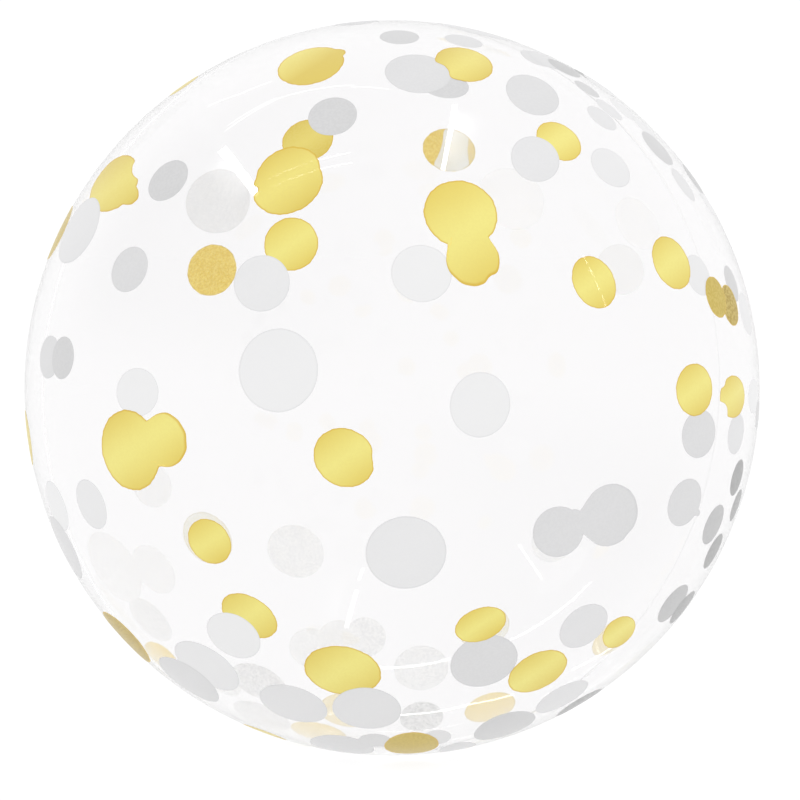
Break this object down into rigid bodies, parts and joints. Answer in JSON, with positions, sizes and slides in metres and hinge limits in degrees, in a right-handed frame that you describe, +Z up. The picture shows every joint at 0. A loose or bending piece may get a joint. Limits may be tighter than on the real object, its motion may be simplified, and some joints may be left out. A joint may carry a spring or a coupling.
{
  "type": "bubble balloon",
  "caption": "Round clear film bubble balloon with gold and silver foil dots on the outside of its film, lying on a small flat spot around its filling seal.",
  "frame": {"origin": "on the floor, at the middle of the flat spot that the balloon lies on", "axes": "+Z up through the ball's centre; -Y faces the viewer and +X is the viewer's right"},
  "size_m": [0.45, 0.45, 0.4483],
  "materials": {
    "clear_film": "clear, colourless, glossy plastic film",
    "gold_foil": "pale satin gold foil, on the dots on the outside of the film",
    "silver_foil": "pale satin silver foil, on the dots on the outside of the film"
  },
  "bodies": {
    "root": {"film_envelope": "clear_film"}
  },
  "joints": []
}
